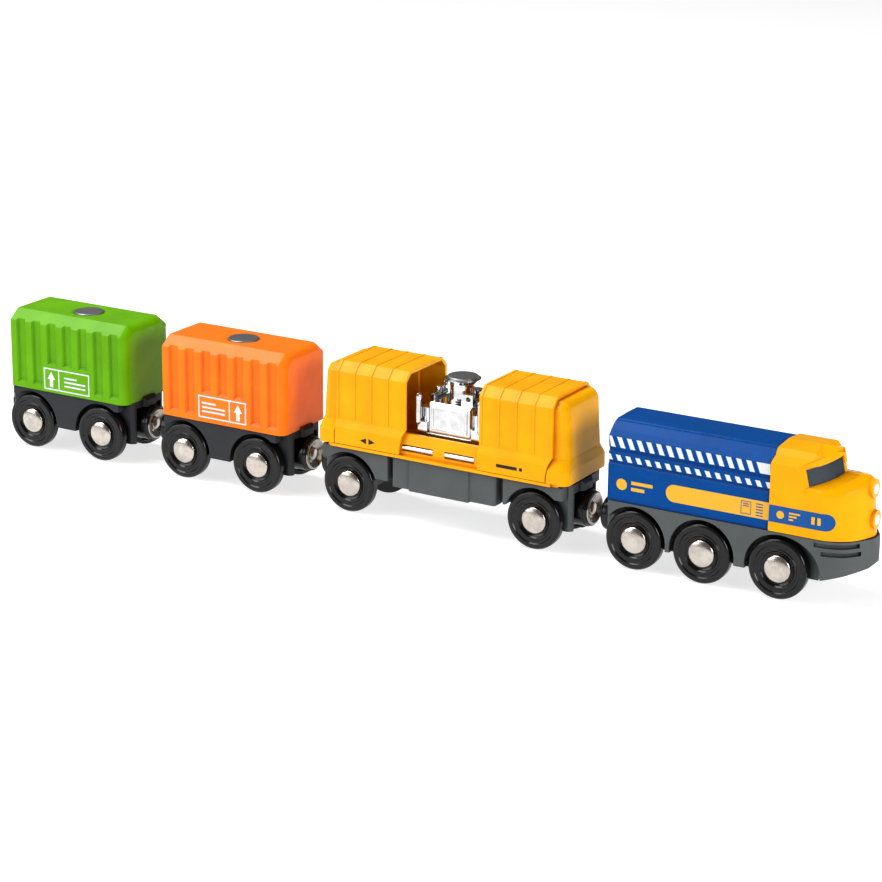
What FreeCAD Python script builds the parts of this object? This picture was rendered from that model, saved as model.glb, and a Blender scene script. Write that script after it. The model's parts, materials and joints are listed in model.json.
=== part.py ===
"""Push-along freight train with magnet couplings: loco, sliding-cover wagon, two container wagons."""
import FreeCAD
import Part
import os
import math

os.makedirs("parts", exist_ok=True)
V = FreeCAD.Vector

# ---------------------------------------------------------------- driving dimensions, mm
# +X is the running direction (loco nose), +Y the left side, +Z up, floor at z = 0.

# wheels and axles
wheel_radius = 10.5
wheel_outer_y = 14.4
wheel_inner_y = 10.6
wheel_hub_radius = 3.2
wheel_hub_inner_y = 10.3
wheel_bore_radius = 1.52
axle_radius = 1.5
axle_bore_radius = 1.56
cap_radius = 4.75
cap_seat_y = 13.4
cap_rim_y = 13.8
cap_top_y = 15.0

# train layout along X
container_wheelbase = 32.75
coupler_reach = 17.0
cover_wheelbase = 75.8
loco_axle_steps = (0.0, 25.36, 53.06)
loco_front_overhang = 82.9
coupling_gaps = (4.65, 6.0, 4.6)
tail_coupler_turn = 18.0

# couplings
coupler_z = 13.9
drum_radius = 6.6
drum_back = 8.3
drum_front = 0.5
magnet_radius = 5.85
magnet_depth = 2.6
magnet_rim_inset = 0.45
pivot_back = 5.5
peg_radius = 1.6
peg_bore_radius = 1.65
peg_head_radius = 2.2
peg_end_z = 6.95
peg_head_height = 0.6
lug_half_width = 3.9
lug_setback = 2.8
lug_bottom_z = 20.75
lug_rise_start = 12.9
lug_rise_z = 24.5
end_bevel = 1.2

# chassis common
spine_half_width = 9.9
cheek_inner_y = 7.6
cheek_reach = 12.5
cheek_bottom_z = 7.2
pocket_start = 6.1
bearing_reach = 4.5
panel_half_width = 14.0
chassis_wall = 2.2

# container wagon
chassis_top_z = 23.5
side_block_z = 9.7
spine_bottom_z = 9.8
arch_radius = 11.9
top_strip_z = 20.4
top_strip_overhang = 8.6
boss_half_length = 11.0
boss_half_width = 6.0
boss_height = 3.0
container_length = 54.0
container_offset = 1.82
container_bottom_z = 23.55
container_half_width = 14.5
container_shoulder_z = 49.8
container_roof_half = 9.6
container_roof_z = 53.5
container_wall = 1.7
container_front_round = 3.2
container_rear_round = 0.5
flute_count = 7
flute_pitch = 7.28
flute_mouth = 4.7
flute_floor = 3.1
flute_depth = 1.0
flute_bottom_z = 26.6
flute_foot_height = 1.1
flute_label_z = 35.4
disc_radius = 5.75
disc_thickness = 1.3
disc_proud = 0.2
disc_clearance = 0.1
disc_dish_radius = 7.0
disc_dish_depth = 0.3

# sliding-cover wagon
cover_chassis_top_z = 24.1
wing_start = 18.3
wing_end = 60.4
wing_half_width = 14.0
wing_bottom_z = 12.8
step_panel_start = 25.4
step_panel_end = 50.0
step_panel_proud = 0.5
bogie_outer_reach = 10.9
bogie_inner_reaches = (16.3, 12.3)
bogie_panel_z = 14.3
cover_spine_z = 14.0
deck_bottom_z = 24.2
deck_floor_z = 26.0
deck_half_width = 14.2
deck_lip_half = 15.5
deck_lip_low_z = 24.3
deck_lip_z = 25.4
deck_lip_reach = 6.9
deck_wall = 1.4
flare_low_z = 29.2
flare_high_z = 33.2
deck_rear_back = 8.2
deck_front_back = 9.4
hood_rear_back = 11.9
hood_front_back = 12.6
hood_end_lean = 1.4
hood_length = 25.5
hood_half_width = 13.0
hood_roof_half = 10.5
hood_shoulder_z = 51.5
hood_roof_z = 54.1
hood_wall = 1.2
hood_end_round = 3.0
hood_foot_reach = 0.7
hood_skirt_z = 25.2
foot_flare_low_z = 30.2
foot_flare_high_z = 33.9
hood_skirt_round = 3.0
cover_half_width = 14.3
cover_roof_half = 11.0
cover_shoulder_z = 52.1
cover_roof_z = 55.4
cover_skirt_half = 15.5
cover_skirt_z = 25.6
cover_flare_low_z = 31.7
cover_flare_high_z = 34.5
cover_wall = 1.0
cover_length = 28.8
rear_cover_start = -4.9
front_cover_start = 53.9
cover_rib_count = 5
cover_rib_width = 1.1
cover_rib_height = 0.15
cover_skirt_curve = ((0.0, 34.3), (0.5, 33.4), (1.1, 31.9), (1.6, 30.0), (1.95, 27.8), (2.05, 25.0))
skirt_gap = 0.35
slot_low_z = 26.9
slot_high_z = 29.4
slot_spans = ((22.4, 35.2), (39.9, 52.0))
guide_bar_radius = 0.85
guide_bar_z = 28.1
guide_bar_y = 13.5

# cargo of the sliding-cover wagon
cargo_x = 39.0
cargo_half_length = 14.3
cargo_half_width = 10.2
cargo_base_z = 32.0
cargo_plinth_z = 33.6
cargo_box_half_length = 8.9
cargo_box_half_width = 9.2
cargo_box_z = 45.0
cargo_end_z = 37.0
cargo_lug_y = 4.4
capsule_radius = 1.25
capsule_inset = 1.6
capsule_y = 9.3
capsule_low_z = 37.4
capsule_high_z = 46.6
tower_radius = 4.6
tower_top_z = 51.3
tower_flare_radius = 6.5
tower_flare_z = 52.9
cargo_disc_radius = 5.6
cargo_disc_top_z = 53.8

# loco
loco_rear_x = -10.5
loco_split_x = 49.2
loco_body_half = 13.5
loco_body_bottom_z = 23.4
loco_body_wall = 1.8
loco_body_profile = (
    (13.5, 36.2), (13.0, 36.7), (13.0, 37.3), (13.4, 37.7), (13.3, 40.6), (12.8, 41.0), (12.8, 41.7),
    (13.2, 42.2), (13.6, 46.2), (11.9, 48.1), (9.2, 50.1), (8.8, 50.35), (7.9, 50.45), (7.3, 50.8),
    (0.0, 50.95),
)
loco_hollow_half = 11.1
loco_hollow_top_z = 46.0
cab_hollow_half = 11.7
cab_hollow_top_z = 38.0
joint_gap = 0.1
cab_roof_profile = (
    (14.25, 46.8), (12.8, 47.6), (10.7, 48.7), (9.6, 50.0), (8.8, 50.9), (5.8, 51.2),
    (1.3, 51.6), (0.0, 51.7),
)
cab_front_profile = ((14.25, 46.4), (13.3, 47.3), (8.0, 49.5), (0.0, 51.7))
cab_ramp = ((58.2, 53.6), (72.2, 44.9), (72.2, 56.0))
cab_half_width = 14.15
nose_bow = ((68.4, 14.15), (70.9, 13.5), (73.9, 12.2), (76.6, 10.2), (78.5, 7.8), (80.3, 4.0), (81.3, 0.0))
nose_lean = 0.09
nose_top_z = 44.0
nose_edge_z = 39.7
nose_top_round = 2.6
screen_bow = ((59.6, 14.15), (61.5, 12.5), (66.0, 8.0), (69.9, 1.8), (70.4, 0.0))
screen_bow_z = 43.0
screen_lean = 0.24
brow_overhang = 0.5
brow_low_z = 50.2
roof_z = 51.7
loco_spine_bottom_z = 7.8
loco_block_bottom_z = 8.7
loco_arch = 12.0
loco_front_arch_long = 15.3
loco_front_arch_high = 12.2
loco_chassis_top_z = 23.3
skirt_bow = (
    (66.5, 14.2), (69.5, 14.05), (72.4, 13.2), (75.2, 11.8), (77.6, 9.4), (79.9, 6.2), (81.9, 2.6),
    (82.9, 0.0),
)
skirt_side_view = (
    (50.0, 9.4), (68.0, 9.4), (81.1, 13.2), (82.4, 14.4), (82.9, 16.0), (82.9, 18.5),
    (82.0, 23.3), (50.0, 23.3),
)
skirt_vents = ((18.1, 68.2, 79.4), (20.9, 65.6, 79.0))
skirt_vent_height = 1.5
skirt_vent_depth = 0.9
screen_inner_y = 1.0
screen_outer_y = 12.4
screen_low_zs = (43.4, 40.2)
screen_high_zs = (49.4, 46.0)
screen_depth = 1.0
headlights = ((29.1, 81.6), (39.6, 80.7))
headlight_bezel_radius = 3.2
headlight_lens_radius = 1.95

# vehicle reference points: X of each rear axle, with the whole train centred on X = 0
tail_reach = (
    coupler_reach - pivot_back + pivot_back * math.cos(math.radians(tail_coupler_turn))
    + (magnet_radius - magnet_rim_inset) * math.sin(math.radians(tail_coupler_turn))
)
train_length = (
    tail_reach + 6 * coupler_reach + 2 * container_wheelbase + cover_wheelbase
    + loco_front_overhang + sum(coupling_gaps)
)
green_x = tail_reach - train_length / 2
orange_x = green_x + container_wheelbase + 2 * coupler_reach + coupling_gaps[0]
cover_x = orange_x + container_wheelbase + coupler_reach + coupling_gaps[1] + coupler_reach
loco_x = cover_x + cover_wheelbase + coupler_reach + coupling_gaps[2] + coupler_reach


# ---------------------------------------------------------------- shape helpers
def box(x0, x1, half_y, z0, z1):
    """Box symmetric about the centre plane."""
    return Part.makeBox(x1 - x0, 2 * half_y, z1 - z0, V(x0, -half_y, z0))


def slab(x0, x1, y0, y1, z0, z1):
    return Part.makeBox(x1 - x0, y1 - y0, z1 - z0, V(x0, y0, z0))


def polygon_face(points):
    return Part.Face(Part.makePolygon(list(points) + [points[0]]))


def prism_x(half_profile, x0, x1):
    """Extrude along X a closed outline given as (y, z) on the +Y side, mirrored to -Y."""
    left = [V(x0, y, z) for y, z in half_profile]
    right = [V(x0, -y, z) for y, z in reversed(half_profile) if y > 0]
    return polygon_face(left + right).extrude(V(x1 - x0, 0, 0))


def prism_y(profile, half_y):
    """Extrude a closed (x, z) outline across the full width 2 * half_y."""
    points = [V(x, -half_y, z) for x, z in profile]
    return polygon_face(points).extrude(V(0, 2 * half_y, 0))


def cylinder(radius, length, base, direction):
    return Part.makeCylinder(radius, length, base, direction)


def revolve(profile, base, axis, radial):
    """Revolve (along, radius) points about the line through base along axis."""
    points = [base + axis * along + radial * radius for along, radius in profile]
    return polygon_face(points).revolve(base, axis, 360)


def arc_points(centre, radius, start_deg, end_deg, steps):
    """Points on a circular arc in an (along, radius) plane."""
    angles = [math.radians(start_deg + (end_deg - start_deg) * i / steps) for i in range(steps + 1)]
    return [(centre[0] + radius * math.cos(a), centre[1] + radius * math.sin(a)) for a in angles]


def dome_points(rim, top, radius, steps):
    """Points of a domed cap from its rim to its crown, as (along, radius)."""
    turns = [math.pi / 2 * i / steps for i in range(steps + 1)]
    return [(rim + (top - rim) * math.sin(t), radius * math.cos(t)) for t in turns]


def fuse_all(shapes):
    return shapes[0].multiFuse(shapes[1:]).removeSplitter()


def cut_all(body, tools):
    return body.cut(Part.makeCompound(tools))


def round_edges(shape, radius, wanted):
    return shape.makeFillet(radius, [edge for edge in shape.Edges if wanted(edge)])


def bevel_edges(shape, size, wanted):
    return shape.makeChamfer(size, [edge for edge in shape.Edges if wanted(edge)])


def lies_at_x(edge, x):
    return all(abs(vertex.Point.x - x) < 0.01 for vertex in edge.Vertexes)


def is_upright(edge):
    ends = [vertex.Point for vertex in edge.Vertexes]
    return len(ends) == 2 and abs(ends[0].x - ends[1].x) + abs(ends[0].y - ends[1].y) < 0.01


def lowest_z(edge):
    return min(vertex.Point.z for vertex in edge.Vertexes)


def highest_z(edge):
    return max(vertex.Point.z for vertex in edge.Vertexes)


def export(name, solids):
    shape = solids[0] if len(solids) == 1 else Part.makeCompound(solids)
    shape.exportStep("parts/%s.step" % name)
    print(name, len(shape.Solids), "solid(s)", "valid" if shape.isValid() else "NOT VALID")


# ---------------------------------------------------------------- wheelsets
def wheel(x, side):
    """One moulded wheel with rounded tread, a stepped dish and a recess for the hub cap."""
    tread = wheel_radius
    face = wheel_outer_y
    profile = [(wheel_hub_inner_y, wheel_bore_radius), (wheel_hub_inner_y, wheel_hub_radius)]
    profile += [(wheel_inner_y, wheel_hub_radius), (wheel_inner_y, tread - 0.7)]
    profile += [(wheel_inner_y + 0.2, tread - 0.2), (wheel_inner_y + 0.7, tread)]
    profile += [(along, r) for along, r in reversed(arc_points((face - 1.1, tread - 1.1), 1.1, 0, 90, 6))]
    profile += [(face, tread - 2.0), (face - 0.45, tread - 2.35), (face - 0.5, tread - 3.4)]
    profile += [(face - 0.25, tread - 3.6), (face - 0.3, tread - 4.1), (face - 0.8, tread - 4.6)]
    profile += [(cap_seat_y - 0.1, cap_radius + 0.5), (cap_seat_y - 0.1, wheel_bore_radius)]
    return revolve(profile, V(x, 0, wheel_radius), V(0, side, 0), V(0, 0, 1))


def axle(x):
    """Steel rod with a domed cap at each end."""
    parts = [cylinder(axle_radius, 2 * cap_seat_y, V(x, -cap_seat_y, wheel_radius), V(0, 1, 0))]
    for side in (1, -1):
        profile = [(cap_seat_y, 0), (cap_seat_y, cap_radius - 0.2), (cap_seat_y + 0.15, cap_radius)]
        profile += dome_points(cap_rim_y, cap_top_y, cap_radius, 10)
        parts.append(revolve(profile, V(x, 0, wheel_radius), V(0, side, 0), V(0, 0, 1)))
    return fuse_all(parts)


def export_wheelsets(names, positions):
    for name, x in zip(names, positions):
        export("axle_" + name, [axle(x)])
        export("wheels_" + name, [wheel(x, 1), wheel(x, -1)])


# ---------------------------------------------------------------- magnet couplings
def coupler_housing(face_x, side):
    """Moulded drum that carries the magnet and swivels on the chassis peg."""
    base = V(face_x, 0, coupler_z)
    seat = magnet_radius + 0.1
    profile = [(-drum_back, 0), (-drum_back, drum_radius - 0.7), (-drum_back + 0.6, drum_radius)]
    profile += [(-drum_front - 1.4, drum_radius), (-drum_front - 1.4, drum_radius - 0.25)]
    profile += [(-drum_front - 0.5, drum_radius - 0.3), (-drum_front, drum_radius - 0.5)]
    profile += [(-drum_front, seat), (-magnet_depth - 0.1, seat), (-magnet_depth - 0.1, 0)]
    drum = revolve(profile, base, V(side, 0, 0), V(0, 0, 1))
    peg_hole = cylinder(peg_bore_radius, 4 * drum_radius, V(face_x - side * pivot_back, 0, 0), V(0, 0, 1))
    rivet_hole = cylinder(1.24, 1.0, V(face_x - side * magnet_depth, 0, coupler_z), V(-side, 0, 0))
    return cut_all(drum, [peg_hole, rivet_hole])


def coupler_magnet(face_x, side):
    """Plated ring magnet with a dished face and a rivet hole."""
    profile = [(-magnet_depth, 1.25), (-magnet_depth, magnet_radius), (-0.45, magnet_radius)]
    profile += [(-0.1, magnet_radius - 0.15), (0, magnet_radius - magnet_rim_inset)]
    profile += [(0, magnet_radius - 0.75)]
    profile += [(-0.5, magnet_radius - 1.5), (-1.1, magnet_radius - 2.5), (-1.4, magnet_radius - 3.3)]
    profile += [(-1.4, 1.25)]
    return revolve(profile, V(face_x, 0, coupler_z), V(side, 0, 0), V(0, 0, 1))


def coupler_rivet(face_x, side):
    """Domed rivet that holds the magnet in the drum."""
    profile = [(-magnet_depth - 0.8, 0), (-magnet_depth - 0.8, 1.2), (-1.38, 1.2), (-1.38, 2.4)]
    profile += dome_points(-1.1, -0.35, 2.4, 6)
    return revolve(profile, V(face_x, 0, coupler_z), V(side, 0, 0), V(0, 0, 1))


def export_coupler(name, face_x, side, turn=0.0):
    """Write one coupling, swivelled about its peg by turn degrees."""
    peg_x = face_x - side * pivot_back
    pieces = {"housing_": coupler_housing, "magnet_": coupler_magnet, "rivet_": coupler_rivet}
    for prefix, make in pieces.items():
        piece = make(face_x, side)
        piece.rotate(V(peg_x, 0, 0), V(0, 0, 1), turn)
        export(prefix + name, [piece])


# ---------------------------------------------------------------- chassis pieces
def wheel_arch(x, half_long, half_high):
    """Elliptical cutters that clear both wheels of one axle."""
    ellipse = Part.Ellipse(V(0, 0, 0), half_long, half_high)
    face = Part.Face(Part.Wire([ellipse.toShape()]))
    face.rotate(V(0, 0, 0), V(1, 0, 0), 90)
    cutters = []
    for start in (spine_half_width, -spine_half_width - 10):
        cutter = face.copy()
        cutter.translate(V(x, start, wheel_radius))
        cutters.append(cutter.extrude(V(0, 10, 0)))
    return cutters


def axle_bore(x):
    return cylinder(axle_bore_radius, 40, V(x, -20, wheel_radius), V(0, 1, 0))


def span(x, side, near, far):
    """Ordered pair of X values from near to far on one side of x."""
    return sorted((x + side * near, x + side * far))


def coupler_end(axle_x, side, top_z):
    """Bearing block, two cheeks, lug and moulded peg at one end of a chassis: solids and cutters."""
    lug_end = coupler_reach - lug_setback
    x0, x1 = span(axle_x, side, -bearing_reach, cheek_reach)
    block = box(x0, x1, spine_half_width, cheek_bottom_z, top_z)
    block = bevel_edges(block, end_bevel, lambda edge: (
        is_upright(edge) and lies_at_x(edge, axle_x + side * cheek_reach)))
    x0, x1 = span(axle_x, side, cheek_reach - 2, lug_end)
    lug = box(x0, x1, lug_half_width, lug_bottom_z, top_z)
    x0, x1 = span(axle_x, side, lug_rise_start, lug_end)
    lug = fuse_all([lug, box(x0, x1, lug_half_width, lug_bottom_z, lug_rise_z)])
    lug = bevel_edges(lug, end_bevel, lambda edge: lies_at_x(edge, axle_x + side * lug_end)
                      and highest_z(edge) > lug_bottom_z + 1)
    x0, x1 = span(axle_x, side, pocket_start, coupler_reach + 10)
    pocket = box(x0, x1, cheek_inner_y, 0, lug_bottom_z)
    peg_x = axle_x + side * (coupler_reach - pivot_back)
    peg = cylinder(peg_radius, lug_bottom_z + 0.5 - peg_end_z, V(peg_x, 0, peg_end_z), V(0, 0, 1))
    head = Part.makeCone(1.2, peg_head_radius, peg_head_height, V(peg_x, 0, peg_end_z - peg_head_height))
    return [block, lug], [pocket], [peg, head]


def container_chassis(x):
    far = x + container_wheelbase
    mid = x + container_wheelbase / 2
    rear = coupler_end(x, -1, chassis_top_z)
    front = coupler_end(far, 1, chassis_top_z)
    side_block = box(mid - 14, mid + 14, panel_half_width, side_block_z, chassis_top_z)
    strip = box(x - top_strip_overhang, far + top_strip_overhang, panel_half_width, top_strip_z,
                chassis_top_z)
    panels = fuse_all([side_block, strip])
    arches = wheel_arch(x, arch_radius, arch_radius) + wheel_arch(far, arch_radius, arch_radius)
    panels = cut_all(panels, arches)
    spine = box(x, far, spine_half_width, spine_bottom_z, chassis_top_z)
    boss = box(mid + container_offset - boss_half_length, mid + container_offset + boss_half_length,
               boss_half_width, chassis_top_z - 1, chassis_top_z + boss_height)
    body = fuse_all([panels, spine, boss] + rear[0] + front[0])
    belly = box(x + bearing_reach, far - bearing_reach, spine_half_width - chassis_wall, 0,
                chassis_top_z - chassis_wall)
    body = cut_all(body, rear[1] + front[1] + [belly, axle_bore(x), axle_bore(far)])
    return fuse_all([body] + rear[2] + front[2])


# ---------------------------------------------------------------- containers
def container_outline(inset):
    return [
        (container_half_width - inset, container_bottom_z + inset),
        (container_half_width - inset, container_shoulder_z - inset * 0.3),
        (container_roof_half - inset * 0.3, container_roof_z - inset),
    ]


def flute(x, side, start_z):
    """One vertical groove in a container side, open at the top and sloped at its foot."""
    outer = container_half_width + 0.2
    floor = container_half_width - flute_depth
    low = start_z - flute_foot_height
    points = [V(x - flute_mouth / 2, side * outer, low), V(x + flute_mouth / 2, side * outer, low),
              V(x + flute_floor / 2, side * floor, low), V(x - flute_floor / 2, side * floor, low)]
    groove = polygon_face(points).extrude(V(0, 0, container_roof_z))
    foot = [V(x - flute_mouth, side * floor, start_z), V(x - flute_mouth, side * container_half_width, low),
            V(x - flute_mouth, side * outer, low - 1), V(x - flute_mouth, side * (floor - 1), low - 1),
            V(x - flute_mouth, side * (floor - 1), start_z)]
    return groove.cut(polygon_face(foot).extrude(V(2 * flute_mouth, 0, 0)))


def container(x):
    """Hollow moulded box with fluted sides, a floor socket and a seat for the crane disc."""
    mid = x + container_wheelbase / 2 + container_offset
    x0 = mid - container_length / 2
    x1 = mid + container_length / 2
    outer = prism_x(container_outline(0), x0, x1)
    for end_x, radius in ((x0, container_rear_round), (x1, container_front_round)):
        outer = round_edges(outer, radius, lambda edge: (
            lies_at_x(edge, end_x) and highest_z(edge) > container_bottom_z + 1))
    inner = prism_x(container_outline(container_wall), x0 + container_wall, x1 - container_wall)
    cutters = [inner]
    for number in range(flute_count):
        from_middle = number - (flute_count - 1) / 2
        start_z = flute_label_z if abs(from_middle) < 1.5 else flute_bottom_z
        for side in (1, -1):
            cutters.append(flute(mid + from_middle * flute_pitch, side, start_z))
    cutters.append(box(mid - boss_half_length - 0.4, mid + boss_half_length + 0.4, boss_half_width + 0.4,
                       container_bottom_z - 1, container_bottom_z + container_wall + 1))
    shell = cut_all(outer, cutters)
    seat_z = container_roof_z - disc_thickness
    boss = cylinder(disc_radius + 1.6, disc_thickness + 1.2, V(mid, 0, seat_z - 1.2), V(0, 0, 1))
    seat = cylinder(disc_radius + disc_clearance, 5, V(mid, 0, seat_z + disc_proud), V(0, 0, 1))
    dish = Part.makeCone(disc_dish_radius - 1, disc_dish_radius, disc_dish_depth,
                         V(mid, 0, container_roof_z - disc_dish_depth))
    return cut_all(shell.fuse(boss), [seat, dish]).removeSplitter()


def crane_disc(x, top_z, radius, thickness):
    """Steel lifting disc with a broken top edge."""
    disc = cylinder(radius, thickness, V(x, 0, top_z - thickness), V(0, 0, 1))
    return bevel_edges(disc, 0.2, lambda edge: lowest_z(edge) > top_z - 0.01 and len(edge.Vertexes) == 1)


def export_container_wagon(colour, x, tail_turn):
    mid = x + container_wheelbase / 2 + container_offset
    export(colour + "_chassis", [container_chassis(x)])
    export(colour + "_container", [container(x)])
    top_z = container_roof_z + disc_proud
    export(colour + "_crane_disc", [crane_disc(mid, top_z, disc_radius, disc_thickness)])
    export_wheelsets([colour + "_rear", colour + "_front"], [x, x + container_wheelbase])
    export_coupler(colour + "_rear", x - coupler_reach, -1, tail_turn)
    export_coupler(colour + "_front", x + container_wheelbase + coupler_reach, 1)


# ---------------------------------------------------------------- sliding-cover wagon
def cover_wagon_chassis(x):
    far = x + cover_wheelbase
    rear = coupler_end(x, -1, cover_chassis_top_z)
    front = coupler_end(far, 1, cover_chassis_top_z)
    spine = box(x, far, spine_half_width, cover_spine_z, cover_chassis_top_z)
    wings = box(x + wing_start, x + wing_end, wing_half_width, wing_bottom_z, cover_chassis_top_z)
    wings = bevel_edges(wings, 0.6, is_upright)
    panel = box(x + step_panel_start, x + step_panel_end, wing_half_width + step_panel_proud,
                wing_bottom_z - 0.4, cover_chassis_top_z)
    panel = bevel_edges(panel, 0.4, is_upright)
    strips = []
    for axle_x, inward, inner_reach in ((x, 1, bogie_inner_reaches[0]), (far, -1, bogie_inner_reaches[1])):
        x0, x1 = span(axle_x, inward, -bogie_outer_reach, inner_reach)
        panel_block = box(x0, x1, panel_half_width, bogie_panel_z, cover_chassis_top_z)
        x0, x1 = span(axle_x, inward, -bogie_outer_reach - 1, 0)
        strips.append(panel_block.cut(box(x0, x1, panel_half_width + 1, bogie_panel_z - 1, top_strip_z - 1)))
    strips = cut_all(fuse_all(strips),
                     wheel_arch(x, arch_radius, arch_radius) + wheel_arch(far, arch_radius, arch_radius))
    body = fuse_all([spine, wings, panel, strips] + rear[0] + front[0])
    belly = box(x + bearing_reach, far - bearing_reach, spine_half_width - chassis_wall, 0,
                cover_chassis_top_z - chassis_wall)
    body = cut_all(body, rear[1] + front[1] + [belly, axle_bore(x), axle_bore(far)])
    return fuse_all([body] + rear[2] + front[2])


def deck_outline(inset):
    """Half outline of the flared deck wall, shrunk by inset."""
    return [
        (deck_half_width - inset, deck_bottom_z), (deck_half_width - inset, flare_low_z),
        (hood_half_width - inset, flare_high_z),
    ]


def cover_wagon_deck(x):
    """Open tray with flared, slotted side walls and a running lip for the covers."""
    x0 = x - deck_rear_back
    x1 = x + cover_wheelbase + deck_front_back
    tray = prism_x(deck_outline(0), x0, x1)
    lip = box(x - deck_lip_reach, x + cover_wheelbase + deck_lip_reach, deck_lip_half, deck_lip_low_z,
              deck_lip_z)
    hollow_outline = [(y, max(z, deck_floor_z)) for y, z in deck_outline(deck_wall)]
    hollow_outline[-1] = (hollow_outline[-1][0], flare_high_z + 1)
    hollow = prism_x(hollow_outline, x0 + 2, x1 - 2)
    cutters = [hollow]
    for start, end in slot_spans:
        for side in (1, -1):
            y0, y1 = sorted((side * (hood_half_width - deck_wall - 1), side * (deck_half_width + 0.05)))
            cutters.append(slab(x + start, x + end, y0, y1, slot_low_z, slot_high_z))
    return cut_all(fuse_all([tray, lip]), cutters)


def guide_bars(x):
    """Bright bars set in the four deck slots."""
    bars = []
    for start, end in slot_spans:
        for side in (1, -1):
            base = V(x + start + 0.02, side * guide_bar_y, guide_bar_z)
            bars.append(cylinder(guide_bar_radius, end - start - 0.04, base, V(1, 0, 0)))
    return bars


def hood_outline(inset):
    return [
        (hood_half_width - inset, flare_high_z + 0.05),
        (hood_half_width - inset, hood_shoulder_z - inset * 0.4),
        (hood_roof_half - inset * 0.4, hood_roof_z - inset),
    ]


def skirt_end_cutter(end_x, side, y0, y1):
    """Cutter with the curved edge of a cover skirt, removing material on its outer side."""
    points = [V(end_x - side * back, y0, z) for back, z in cover_skirt_curve]
    points += [V(end_x + side, y0, points[-1].z), V(end_x + side, y0, points[0].z)]
    return polygon_face(points).extrude(V(0, y1 - y0, 0))


def end_skirt(cover_end_x, outer_x, deck_end_x, side):
    """Flared end block of a hood; one of its two seams with the cover is curved."""
    seam_x = cover_end_x + side * skirt_gap
    curve_reach = cover_skirt_curve[-1][0]
    outline = [(cover_skirt_half, hood_skirt_z), (cover_skirt_half, foot_flare_low_z),
               (hood_half_width, foot_flare_high_z)]
    x0, x1 = sorted((outer_x, seam_x - side * curve_reach))
    above_slope = prism_y([
        (outer_x - side * hood_foot_reach, foot_flare_high_z), (outer_x, foot_flare_low_z),
        (outer_x + side * 5, foot_flare_low_z), (outer_x + side * 5, foot_flare_high_z + 3),
        (outer_x - side * hood_foot_reach, foot_flare_high_z + 3)], 20)
    skirt = prism_x(outline, x0, x1).cut(above_slope)
    skirt = round_edges(skirt, hood_skirt_round, lambda edge: (
        abs(edge.BoundBox.Center.x - outer_x) < hood_foot_reach
        and highest_z(edge) - lowest_z(edge) > 1))
    x0, x1 = sorted((deck_end_x + side * 0.05, seam_x - side * 10))
    clearance = [(deck_half_width + 0.15, deck_bottom_z - 1), (deck_half_width + 0.15, flare_low_z),
                 (hood_half_width - 0.3, flare_high_z), (hood_half_width - 0.3, flare_high_z + 3)]
    cutters = [prism_x(clearance, x0, x1)]
    cutters.append(box(x0, x1, deck_lip_half + 1, deck_bottom_z - 1, deck_lip_z + joint_gap))
    x0, x1 = sorted((seam_x, seam_x - side * 10))
    far_y = side * 20
    y0, y1 = sorted((0, far_y))
    cutters.append(slab(x0, x1, y0, y1, deck_bottom_z - 1, flare_high_z + 3))
    near = [V(seam_x, 0, flare_high_z + 3)]
    near += [V(seam_x - side * back, 0, z) for back, z in cover_skirt_curve]
    near += [V(seam_x - side * 10, 0, near[-1].z), V(seam_x - side * 10, 0, near[0].z)]
    cutters.append(polygon_face(near).extrude(V(0, -far_y, 0)))
    return cut_all(skirt, cutters)


def end_hood(end_axle_x, cover_end_x, side, hood_end_back, deck_end_back):
    """Fixed end hood that the sliding cover telescopes over, with its flared end skirt."""
    end_x = end_axle_x + side * hood_end_back
    inner_x = end_x - side * hood_length
    lean = Part.Face(Part.makePolygon([
        V(end_x, -20, flare_high_z), V(end_x + side * 5, -20, flare_high_z),
        V(end_x + side * 5, -20, hood_roof_z + 1),
        V(end_x - side * hood_end_lean, -20, hood_roof_z + 1), V(end_x, -20, flare_high_z)]))
    x0, x1 = sorted((end_x, inner_x))
    shell = prism_x(hood_outline(0), x0, x1).cut(lean.extrude(V(0, 40, 0)))
    shell = round_edges(shell, hood_end_round, lambda edge: (
        edge.BoundBox.XLength < hood_end_lean + 0.5
        and abs(edge.BoundBox.Center.x - end_x) < hood_end_lean + 0.5
        and highest_z(edge) > flare_high_z + 1))
    x0, x1 = sorted((end_x - side * (hood_wall + hood_end_lean), inner_x - side))
    hollow_outline = [(y, z - (1 if z < hood_shoulder_z - 5 else 0)) for y, z in hood_outline(hood_wall)]
    shell = shell.cut(prism_x(hollow_outline, x0, x1))
    outer_x = end_x + side * hood_foot_reach
    deck_end_x = end_axle_x + side * deck_end_back
    skirt = end_skirt(cover_end_x, outer_x, deck_end_x, side)
    x0, x1 = sorted((end_x - side * 0.1, deck_end_x + side * 0.05))
    bridge = box(x0, x1, hood_half_width - hood_end_round, flare_high_z - 2, flare_high_z + 1)
    return fuse_all([shell, skirt, bridge])


def cover_outline(inset):
    return [
        (cover_skirt_half - inset, cover_skirt_z), (cover_skirt_half - inset, cover_flare_low_z + inset * 0.2),
        (cover_half_width - inset, cover_flare_high_z + inset * 0.2),
        (cover_half_width - inset, cover_shoulder_z - inset * 0.4),
        (cover_roof_half - inset * 0.4, cover_roof_z - inset),
    ]


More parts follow.
